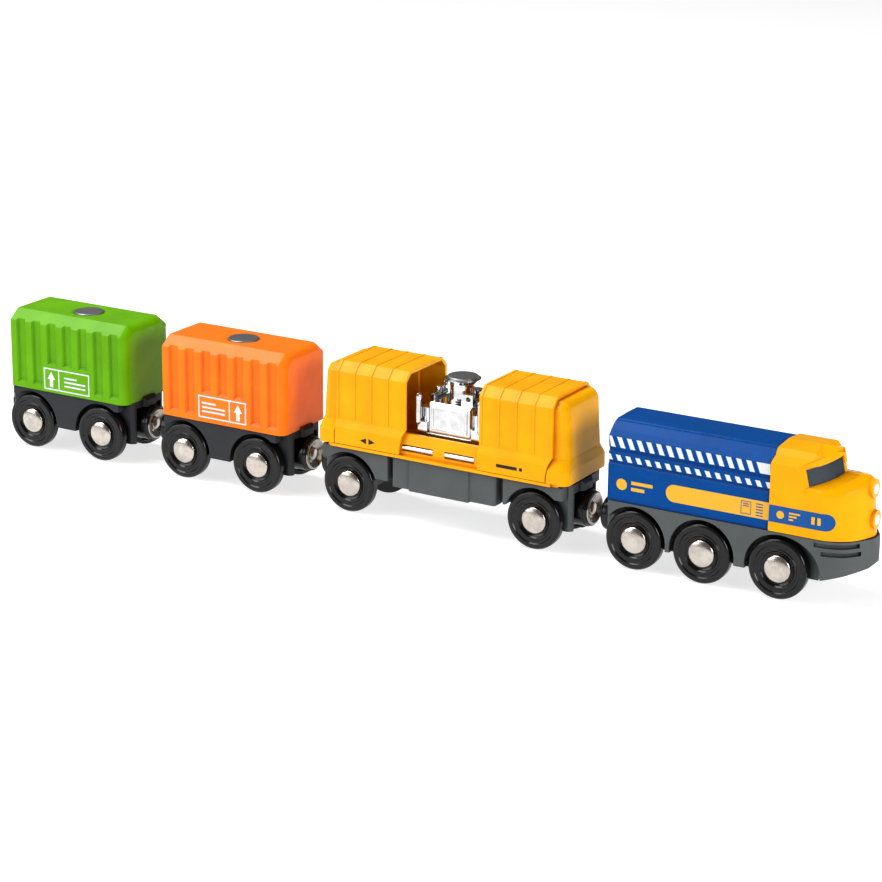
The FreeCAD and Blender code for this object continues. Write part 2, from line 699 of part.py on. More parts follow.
def sliding_cover(start_x):
    """Thin ribbed cover; its skirt ends are curved front left-to-right like its twin turned about."""
    end_x = start_x + cover_length
    shell = prism_x(cover_outline(0), start_x, end_x)
    first = start_x + cover_rib_width / 2
    pitch = (cover_length - cover_rib_width) / (cover_rib_count - 1)
    ribs = []
    for number in range(cover_rib_count):
        rib_x = first + number * pitch
        outline = [(cover_half_width + cover_rib_height, cover_flare_high_z + 0.6),
                   (cover_half_width + cover_rib_height, cover_shoulder_z + 0.14),
                   (cover_roof_half + 0.14, cover_roof_z + cover_rib_height)]
        ribs.append(prism_x(outline, rib_x - cover_rib_width / 2, rib_x + cover_rib_width / 2))
    shell = fuse_all([shell] + ribs)
    hollow = prism_x([(y, z - (1 if z < cover_skirt_z + 0.1 else 0)) for y, z in cover_outline(cover_wall)],
                     start_x - 1, end_x + 1)
    cutters = [hollow, skirt_end_cutter(end_x, 1, -20, 0), skirt_end_cutter(start_x, -1, 0, 20)]
    return cut_all(shell, cutters)


def cargo(x):
    """Bright moulded machine: plinth, panelled box, end pipework and a lifting tower."""
    mid = x + cargo_x
    plinth = box(mid - cargo_half_length, mid + cargo_half_length, cargo_half_width, deck_floor_z + 0.02,
                 cargo_base_z)
    step = box(mid - cargo_half_length + 1.2, mid + cargo_half_length - 1.2, cargo_half_width - 0.6,
               cargo_base_z, cargo_plinth_z)
    core = box(mid - cargo_box_half_length, mid + cargo_box_half_length, cargo_box_half_width,
               cargo_plinth_z, cargo_box_z)
    core = bevel_edges(core, 0.8, lambda edge: is_upright(edge) or lowest_z(edge) > cargo_box_z - 0.01)
    solids = [plinth, step, core]
    for side in (1, -1):
        y0, y1 = sorted((side * (cargo_box_half_width - 0.5), side * (cargo_box_half_width + 0.4)))
        frame = slab(mid - 7.2, mid + 7.2, y0, y1, cargo_plinth_z + 1.6, cargo_box_z - 1.5)
        y0, y1 = sorted((side * (cargo_box_half_width + 0.1), side * (cargo_box_half_width + 1)))
        window = slab(mid - 6.4, mid + 6.4, y0, y1, cargo_plinth_z + 2.4, cargo_box_z - 2.3)
        solids.append(frame.cut(window))
    for end in (1, -1):
        x0, x1 = sorted((mid + end * cargo_box_half_length, mid + end * (cargo_half_length - 1.4)))
        solids.append(box(x0, x1, cargo_box_half_width - 1.6, cargo_plinth_z - 0.5, cargo_end_z + 5.2))
        solids.append(box(x0, x1, cargo_box_half_width + 0.4, cargo_plinth_z - 0.5, capsule_low_z))
        for side in (1, -1):
            base = V(mid + end * (cargo_half_length - capsule_inset), side * capsule_y, capsule_low_z)
            solids.append(cylinder(capsule_radius, capsule_high_z - capsule_low_z, base, V(0, 0, 1)))
            solids.append(Part.makeSphere(capsule_radius, base))
            solids.append(Part.makeSphere(capsule_radius, base + V(0, 0, capsule_high_z - capsule_low_z)))
        pipe_x = mid + end * (cargo_half_length - 4.6)
        solids.append(cylinder(1.1, 9, V(pipe_x, -4.5, cargo_box_z + 0.6), V(0, 1, 0)))
        solids.append(box(pipe_x - 1.0, pipe_x + 1.0, 3.0, cargo_end_z + 5, cargo_box_z + 1))
        solids.append(cylinder(1.5, 2.6, V(pipe_x, 0, cargo_box_z + 1), V(0, 0, 1)))
    solids.append(cylinder(tower_radius + 1.0, 0.9, V(mid, 0, cargo_box_z), V(0, 0, 1)))
    solids.append(cylinder(tower_radius, tower_top_z - cargo_box_z, V(mid, 0, cargo_box_z), V(0, 0, 1)))
    solids.append(Part.makeCone(tower_radius, tower_flare_radius, tower_flare_z - tower_top_z,
                                V(mid, 0, tower_top_z)))
    for side in (1, -1):
        lug_y = side * cargo_lug_y
        lug = slab(mid + 2.6, mid + 7.2, lug_y - 1.2, lug_y + 1.2, cargo_box_z - 0.2, cargo_box_z + 3.6)
        eye = cylinder(0.9, 4, V(mid + 5.4, lug_y - 2, cargo_box_z + 2.0), V(0, 1, 0))
        solids.append(lug.cut(eye))
    return fuse_all(solids)


def export_cover_wagon(x):
    far = x + cover_wheelbase
    export("cover_wagon_chassis", [cover_wagon_chassis(x)])
    export("cover_wagon_deck", [cover_wagon_deck(x)])
    export("guide_bars", guide_bars(x))
    export("cover_wagon_rear_hood", [end_hood(x, x + rear_cover_start, -1, hood_rear_back, deck_rear_back)])
    export("cover_wagon_front_hood",
           [end_hood(far, x + front_cover_start + cover_length, 1, hood_front_back, deck_front_back)])
    export("rear_cover", [sliding_cover(x + rear_cover_start)])
    export("front_cover", [sliding_cover(x + front_cover_start)])
    export("cargo", [cargo(x)])
    disc_height = cargo_disc_top_z - tower_flare_z - 0.02
    export("cargo_crane_disc", [crane_disc(x + cargo_x, cargo_disc_top_z, cargo_disc_radius, disc_height)])
    export_wheelsets(["cover_rear", "cover_front"], [x, far])
    export_coupler("cover_rear", x - coupler_reach, -1)
    export_coupler("cover_front", far + coupler_reach, 1)


# ---------------------------------------------------------------- loco
def loco_body(x):
    """Blue body shell with sloped shoulders and two long side grooves."""
    outline = [(loco_body_half, loco_body_bottom_z)] + list(loco_body_profile)
    body = prism_x(outline, x + loco_rear_x, x + loco_split_x - joint_gap)
    hollow = box(x + loco_rear_x + loco_body_wall, x + loco_split_x - loco_body_wall,
                 loco_hollow_half, loco_body_bottom_z - 1, loco_hollow_top_z)
    return body.cut(hollow)


def bow_prism(half_points, x, rear_x, z0, z1, lean=0.0, inset=0.0):
    """Prism with a pointed, curved bow through (x, y) half points, leaning back by lean per unit height."""
    near = [V(x + px - inset, -max(py - inset * 0.6, 0.0), z0) for px, py in half_points]
    far = [V(point.x, -point.y, z0) for point in reversed(near[:-1])]
    points = near + far
    curve = Part.BSplineCurve()
    curve.interpolate(points)
    corners = [points[-1], V(rear_x, points[-1].y, z0), V(rear_x, points[0].y, z0), points[0]]
    edges = [curve.toShape()]
    edges += [Part.LineSegment(start, end).toShape() for start, end in zip(corners, corners[1:])]
    height = z1 - z0
    return Part.Face(Part.Wire(edges)).extrude(V(-lean * height, 0, height))


def screen_prism(x, rear_x, z0, z1, shift):
    """Raked bow that carries the windscreen, moved along X by shift."""
    offset = shift - screen_lean * (z0 - screen_bow_z)
    return bow_prism(screen_bow, x + offset, rear_x, z0, z1, screen_lean)


def screen_band(x, side, grow):
    """Tent-shaped band through the cab front where one pane of the windscreen sits."""
    inner = screen_inner_y - grow
    outer = screen_outer_y + grow
    points = [V(x, side * inner, screen_low_zs[0] - grow), V(x, side * outer, screen_low_zs[1] - grow),
              V(x, side * outer, screen_high_zs[1] + grow), V(x, side * inner, screen_high_zs[0] + grow)]
    return polygon_face(points).extrude(V(40, 0, 0))


def cab_front_section(x0, x1):
    """Cross-section of the cab ahead of the roof step: a shallow tent over upright sides."""
    foot = [(cab_front_profile[0][0], loco_body_bottom_z - 1)]
    return prism_x(foot + list(cab_front_profile), x0, x1)


def loco_cab(x):
    """Yellow cab and pointed nose moulding with two screen recesses and two lamp bezels."""
    rear_x = x + loco_split_x
    low = loco_body_bottom_z + joint_gap
    half = cab_half_width + 0.1
    nose = bow_prism(nose_bow, x, rear_x, low, nose_top_z + 1, nose_lean)
    tent = [(half, low - 1), (half, nose_edge_z), (0.0, nose_top_z)]
    nose = nose.common(prism_x(tent, rear_x, x + 90))
    nose = round_edges(nose, nose_top_round, lambda edge: (
        edge.BoundBox.ZMin > nose_edge_z - 0.5 and abs(edge.BoundBox.Center.y) > 1
        and edge.BoundBox.XLength > 1))
    upper = screen_prism(x, rear_x, 38.0, roof_z + 0.5, 0.0)
    rear_roof = prism_x([(half, low - 1)] + list(cab_roof_profile), rear_x, x + 90)
    ramp = prism_y([(x + px, z) for px, z in cab_ramp], 20)
    front_roof = cab_front_section(rear_x, x + 90)
    upper = fuse_all([upper.common(rear_roof.cut(ramp)), upper.common(front_roof)])
    brow_zone = prism_x([(14.5, 46.9), (14.5, 54.0), (0.0, 54.0), (0.0, brow_low_z)], x + 50, x + 90)
    brow = screen_prism(x, rear_x, 44.0, roof_z + 0.5, brow_overhang).common(brow_zone)
    brow = brow.common(cab_front_section(rear_x, x + 90))
    bezels = [cylinder(headlight_bezel_radius, 5, V(x + face_x - 5, 0, z), V(1, 0, 0))
              for z, face_x in headlights]
    cab = fuse_all([nose, upper, brow] + bezels)
    recess = screen_prism(x, rear_x - 5, 36.0, 52.0, 5.0)
    recess = recess.cut(screen_prism(x, rear_x - 6, 36.0, 53.0, -screen_depth))
    cutters = [recess.common(screen_band(x + 50, side, 0.0)) for side in (1, -1)]
    cutters.append(box(rear_x + 6, x + 66, cab_hollow_half, low - 1, cab_hollow_top_z))
    for z, face_x in headlights:
        cutters.append(cylinder(headlight_lens_radius + 0.05, 5, V(x + face_x - 1.2, 0, z), V(1, 0, 0)))
    return cut_all(cab, cutters)


def loco_windscreen(x):
    """Two dark panes of the pointed windscreen."""
    front = screen_prism(x, x + 40, 38.0, 52.0, -0.15)
    back = screen_prism(x, x + 39, 37.0, 53.0, 0.03 - screen_depth)
    glass = front.cut(back)
    return [glass.common(screen_band(x + 50, side, -0.04)) for side in (1, -1)]


def loco_headlights(x):
    """Two domed lamp lenses."""
    lenses = []
    for z, face_x in headlights:
        profile = [(-1.15, 0), (-1.15, headlight_lens_radius)]
        profile += dome_points(-0.1, 0.5, headlight_lens_radius, 6)
        lenses.append(revolve(profile, V(x + face_x, 0, z), V(1, 0, 0), V(0, 0, 1)))
    return lenses


def front_skirt(x):
    """Pointed grey skirt below the nose, with two long vents on each side."""
    rear_x = x + loco_axle_steps[2]
    skirt = bow_prism(skirt_bow, x, rear_x, 6, loco_chassis_top_z)
    skirt = skirt.common(prism_y([(x + px, z) for px, z in skirt_side_view], 20))
    vents = []
    for z, start, end in skirt_vents:
        zone = box(x + start, x + end, 20, z, z + skirt_vent_height)
        vents.append(zone.cut(bow_prism(skirt_bow, x, rear_x, z - 1, z + 4, 0.0, skirt_vent_depth)))
    return cut_all(skirt, vents)


def loco_chassis(x):
    """Grey underframe with wheel arches between the axles and a pointed front skirt."""
    axle_xs = [x + step for step in loco_axle_steps]
    rear = coupler_end(axle_xs[0], -1, loco_chassis_top_z)
    spine = box(x, x + 66, spine_half_width, loco_spine_bottom_z, loco_chassis_top_z)
    panels = box(x + loco_rear_x + 0.6, x + 64, panel_half_width, loco_block_bottom_z, loco_chassis_top_z)
    outer_parts = fuse_all([panels, front_skirt(x)])
    arches = []
    for axle_x in axle_xs:
        arches += wheel_arch(axle_x, loco_arch, loco_arch)
    for cutter in wheel_arch(axle_xs[2], loco_front_arch_long, loco_front_arch_high):
        arches.append(cutter.common(slab(axle_xs[2], x + 80, -30, 30, 0, 40)))
    outer_parts = cut_all(outer_parts, arches)
    body = fuse_all([outer_parts, spine] + rear[0])
    bellies = [(axle_xs[0] + bearing_reach, axle_xs[1] - bearing_reach),
               (axle_xs[1] + bearing_reach, axle_xs[2] - bearing_reach),
               (axle_xs[2] + bearing_reach, x + 76)]
    cutters = [box(x0, x1, cheek_inner_y, 0, 20) for x0, x1 in bellies]
    body = cut_all(body, rear[1] + cutters + [axle_bore(axle_x) for axle_x in axle_xs])
    return fuse_all([body] + rear[2])


def export_loco(x):
    export("loco_chassis", [loco_chassis(x)])
    export("loco_body", [loco_body(x)])
    export("loco_cab", [loco_cab(x)])
    export("loco_windscreen", loco_windscreen(x))
    export("loco_headlights", loco_headlights(x))
    export_wheelsets(["loco_rear", "loco_middle", "loco_front"], [x + step for step in loco_axle_steps])
    export_coupler("loco_rear", x - coupler_reach, -1)


export_container_wagon("green", green_x, tail_coupler_turn)
export_container_wagon("orange", orange_x, 0.0)
export_cover_wagon(cover_x)
export_loco(loco_x)
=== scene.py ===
import json
import math

import bmesh
import bpy
from mathutils import Matrix, Vector
from mathutils.bvhtree import BVHTree


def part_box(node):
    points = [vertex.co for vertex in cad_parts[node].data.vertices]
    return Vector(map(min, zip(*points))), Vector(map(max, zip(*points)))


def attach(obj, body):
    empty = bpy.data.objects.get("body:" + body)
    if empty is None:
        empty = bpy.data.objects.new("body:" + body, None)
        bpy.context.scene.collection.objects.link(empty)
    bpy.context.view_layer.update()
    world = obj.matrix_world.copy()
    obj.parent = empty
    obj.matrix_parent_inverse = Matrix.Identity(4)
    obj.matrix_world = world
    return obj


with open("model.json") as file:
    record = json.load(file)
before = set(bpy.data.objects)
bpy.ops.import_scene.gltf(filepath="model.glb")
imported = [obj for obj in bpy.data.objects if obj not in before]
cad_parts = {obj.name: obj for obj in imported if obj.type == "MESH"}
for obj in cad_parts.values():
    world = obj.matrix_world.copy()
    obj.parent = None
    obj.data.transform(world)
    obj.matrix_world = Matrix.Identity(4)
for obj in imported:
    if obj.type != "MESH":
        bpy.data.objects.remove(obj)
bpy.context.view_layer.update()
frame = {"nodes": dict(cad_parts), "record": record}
NODES = frame["nodes"]
MM = 0.001


# ---------------------------------------------------------------- places taken from the CAD
def low_high(node):
    """Lowest and highest corner of a CAD node, in millimetres."""
    low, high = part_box(node)
    return low / MM, high / MM


def centre_x(node):
    low, high = low_high(node)
    return (low.x + high.x) / 2


GREEN_X = centre_x("axle_green_rear")
ORANGE_X = centre_x("axle_orange_rear")
LOCO_X = centre_x("axle_loco_rear")

# ---------------------------------------------------------------- camera
CAMERA_YAW, CAMERA_PITCH, CAMERA_ROLL = 0.530, 0.307, 0.010  # radians
CAMERA_SENSOR, CAMERA_LENS = 36, 111.1  # millimetres
CAMERA_AHEAD = 642.37  # millimetres ahead of the green wagon's rear axle
CAMERA_SIDE, CAMERA_HEIGHT = -0.79875, 0.32147  # metres


def add_camera():
    look = Vector((-math.sin(CAMERA_YAW) * math.cos(CAMERA_PITCH),
                   math.cos(CAMERA_YAW) * math.cos(CAMERA_PITCH), -math.sin(CAMERA_PITCH)))
    level_right = Vector((math.cos(CAMERA_YAW), math.sin(CAMERA_YAW), 0))
    level_up = level_right.cross(look)
    right = math.cos(CAMERA_ROLL) * level_right + math.sin(CAMERA_ROLL) * level_up
    up = -math.sin(CAMERA_ROLL) * level_right + math.cos(CAMERA_ROLL) * level_up
    data = bpy.data.cameras.new("camera")
    data.sensor_width = CAMERA_SENSOR
    data.lens = CAMERA_LENS
    data.clip_start = 0.05
    data.clip_end = 50
    data.dof.use_dof = False
    camera = bpy.data.objects.new("camera", data)
    bpy.context.scene.collection.objects.link(camera)
    turn = Matrix((right, up, -look)).transposed().to_4x4()
    place = (CAMERA_AHEAD * MM + GREEN_X * MM, CAMERA_SIDE, CAMERA_HEIGHT)
    camera.matrix_world = Matrix.Translation(place) @ turn
    bpy.context.scene.camera = camera


add_camera()

# ---------------------------------------------------------------- shader helpers
FLOW_WAVES = 90.0  # all the waves are per metre
CHIP_WAVES = 1400.0
SMEAR_WAVES = 160.0
GRAIN_WAVES = 5200.0
TARNISH_WAVES = 300.0
TURNING_WAVES = 3800.0
THIN_INK_WAVES = 2600.0
FLOOR_WAVES = 0.8
GRAIN_DEPTH = 0.0002  # depths and reaches are in metres
TURNING_DEPTH = 0.0001
TURNING_STRENGTH = 0.03
EDGE_PALENESS = 0.45
# Painted shade in crevices: how far the occlusion looks and how much darker the colour goes there.
PAINTED_SHADE_REACH = 0.0022
PAINTED_SHADE_GAMMA = 1.7
PLASTIC_IOR = 1.5
INK_GLOSS = 0.2
INK_ROUGHNESS = 0.4


def linear(rgb):
    """Display colour 0-255 to linear RGBA."""
    out = []
    for value in rgb:
        v = value / 255
        out.append(v / 12.92 if v <= 0.04045 else ((v + 0.055) / 1.055) ** 2.4)
    return (*out, 1.0)


def shade(rgb, factor):
    return tuple(min(255.0, max(0.0, c * factor)) for c in rgb)


def new_material(name):
    material = bpy.data.materials.new(name)
    material.use_nodes = True
    tree = material.node_tree
    tree.nodes.clear()
    output = tree.nodes.new("ShaderNodeOutputMaterial")
    shader = tree.nodes.new("ShaderNodeBsdfPrincipled")
    tree.links.new(shader.outputs[0], output.inputs[0])
    return material, tree, shader


def noise(tree, waves, detail=2.0, rough=0.5):
    """Noise in the part's own coordinates."""
    coords = tree.nodes.new("ShaderNodeTexCoord")
    node = tree.nodes.new("ShaderNodeTexNoise")
    node.inputs["Scale"].default_value = waves
    node.inputs["Detail"].default_value = detail
    node.inputs["Roughness"].default_value = rough
    tree.links.new(coords.outputs["Object"], node.inputs["Vector"])
    return node.outputs["Fac"]


def remap(tree, value, low, high, to_low=0.0, to_high=1.0):
    node = tree.nodes.new("ShaderNodeMapRange")
    node.inputs["From Min"].default_value = low
    node.inputs["From Max"].default_value = high
    node.inputs["To Min"].default_value = to_low
    node.inputs["To Max"].default_value = to_high
    tree.links.new(value, node.inputs["Value"])
    return node.outputs["Result"]


def mix(tree, factor, first, second):
    """Colour mix; first and second are sockets or linear RGBA values."""
    node = tree.nodes.new("ShaderNodeMix")
    node.data_type = "RGBA"
    for socket, value in (("A", first), ("B", second)):
        target = [s for s in node.inputs if s.name == socket and s.type == "RGBA"][0]
        if isinstance(value, tuple):
            target.default_value = value
        else:
            tree.links.new(value, target)
    tree.links.new(factor, node.inputs[0])
    return [s for s in node.outputs if s.type == "RGBA"][0]


def edge_mask(tree, radius):
    """A softened normal, and a mask near 1 on sharp edges and 0 on flat faces."""
    bevel = tree.nodes.new("ShaderNodeBevel")
    bevel.samples = 4
    bevel.inputs["Radius"].default_value = radius
    geometry = tree.nodes.new("ShaderNodeNewGeometry")
    dot = tree.nodes.new("ShaderNodeVectorMath")
    dot.operation = "DOT_PRODUCT"
    tree.links.new(bevel.outputs[0], dot.inputs[0])
    tree.links.new(geometry.outputs["Normal"], dot.inputs[1])
    return bevel.outputs[0], remap(tree, dot.outputs["Value"], 1.0, 0.8)


def painted_crevice_shade(tree, base):
    """Painted shade: darken a colour in grooves, seams and recesses, where ambient occlusion finds little
    open space.
    """
    occlusion = tree.nodes.new("ShaderNodeAmbientOcclusion")
    occlusion.samples = 6
    occlusion.inputs["Distance"].default_value = PAINTED_SHADE_REACH
    tree.links.new(base, occlusion.inputs["Color"])
    shaded = tree.nodes.new("ShaderNodeGamma")
    shaded.inputs["Gamma"].default_value = PAINTED_SHADE_GAMMA
    tree.links.new(base, shaded.inputs["Color"])
    return mix(tree, remap(tree, occlusion.outputs["AO"], 0.35, 0.95), shaded.outputs[0], base)


def bump(tree, height, normal, strength, depth):
    node = tree.nodes.new("ShaderNodeBump")
    node.inputs["Strength"].default_value = strength
    node.inputs["Distance"].default_value = depth
    tree.links.new(height, node.inputs["Height"])
    tree.links.new(normal, node.inputs["Normal"])
    return node.outputs[0]


def moulded(name, rgb, roughness, grain=0.02, wear=0.14, radius=0.00025, gloss=0.11, spread=0.03):
    """Moulded plastic: slight flow mottling, moulded grain, handled sheen, paler worn edges and painted
    shade in crevices.
    """
    material, tree, shader = new_material(name)
    flow = remap(tree, noise(tree, FLOW_WAVES, 3.0), 0.35, 0.65)
    base = mix(tree, flow, linear(shade(rgb, 1 - spread)), linear(shade(rgb, 1 + spread)))
    normal, edges = edge_mask(tree, radius)
    worn = tree.nodes.new("ShaderNodeMath")
    worn.operation = "MULTIPLY"
    tree.links.new(edges, worn.inputs[0])
    tree.links.new(remap(tree, noise(tree, CHIP_WAVES), 0.35, 0.7, 0.0, wear), worn.inputs[1])
    pale = tuple(c + (255 - c) * EDGE_PALENESS for c in rgb)
    # Paler worn edges, then painted shade in grooves and seams.
    base = painted_crevice_shade(tree, mix(tree, worn.outputs[0], base, linear(pale)))
    tree.links.new(base, shader.inputs["Base Color"])
    smears = noise(tree, SMEAR_WAVES, 4.0, 0.6)
    sheen = remap(tree, smears, 0.3, 0.7, roughness * 0.9, roughness * 1.12)
    tree.links.new(sheen, shader.inputs["Roughness"])
    grained = bump(tree, noise(tree, GRAIN_WAVES), normal, grain, GRAIN_DEPTH)
    tree.links.new(grained, shader.inputs["Normal"])
    shader.inputs["IOR"].default_value = PLASTIC_IOR
    shader.inputs["Specular IOR Level"].default_value = gloss
    return material


def metal(name, rgb, roughness, brushed=0.0, smudge=0.12, radius=0.00015):
    """Metal with fine turning or plating marks, faint tarnish and smudged sheen."""
    material, tree, shader = new_material(name)
    tarnish = noise(tree, TARNISH_WAVES, 4.0, 0.6)
    base = mix(tree, remap(tree, tarnish, 0.4, 0.75), linear(rgb), linear(shade(rgb, 0.86)))
    tree.links.new(base, shader.inputs["Base Color"])
    shader.inputs["Metallic"].default_value = 1.0
    sheen = remap(tree, tarnish, 0.3, 0.7, roughness, roughness + smudge)
    tree.links.new(sheen, shader.inputs["Roughness"])
    normal, _ = edge_mask(tree, radius)
    turned = bump(tree, noise(tree, TURNING_WAVES), normal, TURNING_STRENGTH + brushed, TURNING_DEPTH)
    tree.links.new(turned, shader.inputs["Normal"])
    return material


def printed(name, rgb):
    """Pad-printed ink: even colour with slight thin spots."""
    material, tree, shader = new_material(name)
    thin = noise(tree, THIN_INK_WAVES, 3.0)
    base = mix(tree, remap(tree, thin, 0.3, 0.75), linear(rgb), linear(shade(rgb, 0.9)))
    tree.links.new(base, shader.inputs["Base Color"])
    sheen = remap(tree, thin, 0.3, 0.7, INK_ROUGHNESS - 0.06, INK_ROUGHNESS + 0.08)
    tree.links.new(sheen, shader.inputs["Roughness"])
    shader.inputs["Specular IOR Level"].default_value = INK_GLOSS
    return material


GREEN = moulded("green_plastic", (95, 161, 0), 0.25, gloss=0.09)
ORANGE = moulded("orange_plastic", (238, 116, 18), 0.25)
YELLOW = moulded("yellow_plastic", (238, 164, 0), 0.24, gloss=0.09)
BLUE = moulded("blue_plastic", (0, 66, 136), 0.28, gloss=0.05)
DARK_GREY = moulded("dark_grey_plastic", (45, 47, 50), 0.5, grain=0.06)
MID_GREY = moulded("mid_grey_plastic", (80, 84, 85), 0.5, grain=0.06)
BLACK = moulded("black_plastic", (11, 11, 12), 0.2, grain=0.03, gloss=0.27, spread=0.1, radius=0.0003)
SCREEN = moulded("screen_black", (42, 52, 60), 0.16, grain=0.01, wear=0.05, gloss=0.5, spread=0.1)
LENS = moulded("lamp_lens", (232, 228, 212), 0.2, grain=0.01, wear=0.1, gloss=0.6, spread=0.02)
STEEL = metal("steel", (192, 184, 175), 0.17)
DISC_STEEL = metal("disc_steel", (152, 153, 154), 0.36, brushed=0.05)
MAGNET = metal("magnet_plating", (170, 164, 156), 0.14)
CHROME = metal("bright_plating", (212, 212, 213), 0.06, smudge=0.05, radius=0.0003)
WHITE_INK = printed("white_ink", (228, 234, 239))
YELLOW_INK = printed("yellow_ink", (236, 178, 44))
BLUE_INK = printed("blue_ink", (0, 78, 150))
BLACK_INK = printed("black_ink", (28, 24, 22))
SLOT_MATERIALS = {
    "green_plastic": GREEN, "orange_plastic": ORANGE, "yellow_plastic": YELLOW, "blue_plastic": BLUE,
    "dark_grey_plastic": DARK_GREY, "mid_grey_plastic": MID_GREY, "black_plastic": BLACK, "steel": STEEL,
    "magnet_plating": MAGNET, "bright_plating": CHROME, "screen_black": SCREEN, "lamp_lens": LENS,
}


def paint_frame():
    for part in frame["record"]["subparts"]:
        material = SLOT_MATERIALS[part["material_slot"]]
        if part["node"].endswith("crane_disc"):
            material = DISC_STEEL
        mesh = NODES[part["node"]].data
        mesh.materials.clear()
        mesh.materials.append(material)


paint_frame()

# ---------------------------------------------------------------- printed marks, in millimetres
INK_LIFT = 0.035
ROUND_STEPS = 10
STRIPE_COLUMNS = 48
DISC_STEPS = 24
SIDES = {"right": -1, "left": 1}


class Print:
    """Flat ink shapes laid on the side of one CAD node, given in (x, z) millimetres."""

    def __init__(self, name, node, body, side, material, slot_name, lift=INK_LIFT):
        self.side = side
        self.lift = lift
        self.name = name
        self.body = body
        self.material = material
        self.slot_name = slot_name
        self.mesh = bmesh.new()
        depsgraph = bpy.context.evaluated_depsgraph_get()
        self.tree = BVHTree.FromObject(NODES[node], depsgraph)

    def point(self, x, z):
        """The place on the node's side at (x, z), lifted off it, or None where there is no side."""
        start = Vector((x * MM, self.side * 0.1, z * MM))
        hit, normal, _, _ = self.tree.ray_cast(start, Vector((0, -self.side, 0)))
        if hit is None:
            return None
        return hit + normal * self.lift * MM

    def face(self, places):
        if all(p is not None for p in places):
            self.mesh.faces.new([self.mesh.verts.new(p) for p in places])

    def patch(self, corners, columns=1, rows=1):
        """Four-sided patch: corners run lower-left, lower-right, upper-right, upper-left."""
        grid = []
        for j in range(rows + 1):
            v = j / rows
            line = []
            for i in range(columns + 1):
                u = i / columns
                shares = ((1 - u) * (1 - v), u * (1 - v), u * v, (1 - u) * v)
                x = sum(share * corner[0] for share, corner in zip(shares, corners))
                z = sum(share * corner[1] for share, corner in zip(shares, corners))
                line.append(self.point(x, z))
            grid.append(line)
        for j in range(rows):
            for i in range(columns):
                self.face([grid[j][i], grid[j][i + 1], grid[j + 1][i + 1], grid[j + 1][i]])

    def bar(self, x0, x1, z0, z1, columns=1, rows=1):
        self.patch([(x0, z0), (x1, z0), (x1, z1), (x0, z1)], columns, rows)

    def stripe(self, x0, x1, z0, z1, round_start=False, round_end=False):
        """Long stripe with half-round ends where asked."""
        radius = (z1 - z0) / 2
        middle = (z0 + z1) / 2
        turn = [math.pi / 2 * i / ROUND_STEPS for i in range(ROUND_STEPS + 1)]
        start = x0 + radius if round_start else x0
        end = x1 - radius if round_end else x1
        stops = []
        if round_start:
            stops += [(start - radius * math.cos(a), radius * math.sin(a)) for a in turn[:-1]]
        stops += [(start + (end - start) * i / STRIPE_COLUMNS, radius) for i in range(STRIPE_COLUMNS + 1)]
        if round_end:
            stops += [(end + radius * math.sin(a), radius * math.cos(a)) for a in turn[1:]]
        for (xa, ha), (xb, hb) in zip(stops, stops[1:]):
            self.patch([(xa, middle - ha), (xb, middle - hb), (xb, middle + hb), (xa, middle + ha)], 1, 4)

    def outline(self, x0, x1, z0, z1, width):
        self.bar(x0, x1, z0, z0 + width, 12)
        self.bar(x0, x1, z1 - width, z1, 12)
        self.bar(x0, x0 + width, z0 + width, z1 - width, 1, 6)
        self.bar(x1 - width, x1, z0 + width, z1 - width, 1, 6)

    def arrow(self, x, z0, z1, width):
        """Plain upward arrow."""
        neck = z0 + (z1 - z0) * 0.5
        self.bar(x - width * 0.22, x + width * 0.22, z0, neck)
        self.patch([(x - width / 2, neck), (x + width / 2, neck), (x + 0.02, z1), (x - 0.02, z1)], 4, 4)

    def disc(self, x, z, radius):
        turn = [2 * math.pi * i / DISC_STEPS for i in range(DISC_STEPS)]
        centre = self.point(x, z)
        ring = [self.point(x + radius * math.cos(a), z + radius * math.sin(a)) for a in turn]
        for i in range(DISC_STEPS):
            self.face([centre, ring[i], ring[(i + 1) % DISC_STEPS]])

    def finish(self):
        bmesh.ops.remove_doubles(self.mesh, verts=self.mesh.verts, dist=1e-6)
        bmesh.ops.recalc_face_normals(self.mesh, faces=self.mesh.faces)
        data = bpy.data.meshes.new(self.name)
        self.mesh.to_mesh(data)
        self.mesh.free()
        data.materials.append(self.material)
        obj = bpy.data.objects.new(self.name, data)
        bpy.context.scene.collection.objects.link(obj)
        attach(obj, self.body)


# Container labels. Lengths run from the wagon's rear axle; foot is the height of a lower edge.
LABEL_HEIGHT = 8.5
LABEL_OUTLINE = 0.5
LABEL_DIVIDER_HALF = 0.22
LABEL_ARROW_WIDTH = 3.6
LABEL_ARROW_LOW, LABEL_ARROW_HIGH = 1.1, 7.2
LABEL_LINE_PITCH = 1.6
LABEL_LINE_HALF = 0.33
LABEL_SHORT_LINE = 4.0
LABELS = {
    "green": {"axle": GREEN_X, "start": 6.9, "end": 28.5, "foot": 24.6, "divider": 14.0, "arrow": 10.4,
              "lines_start": 16.6, "lines_end": 26.6, "lines_foot": 27.0},
    "orange": {"axle": ORANGE_X, "start": 7.5, "end": 28.8, "foot": 25.2, "divider": 21.4, "arrow": 25.2,
               "lines_start": 9.2, "lines_end": 19.4, "lines_foot": 27.7},
}


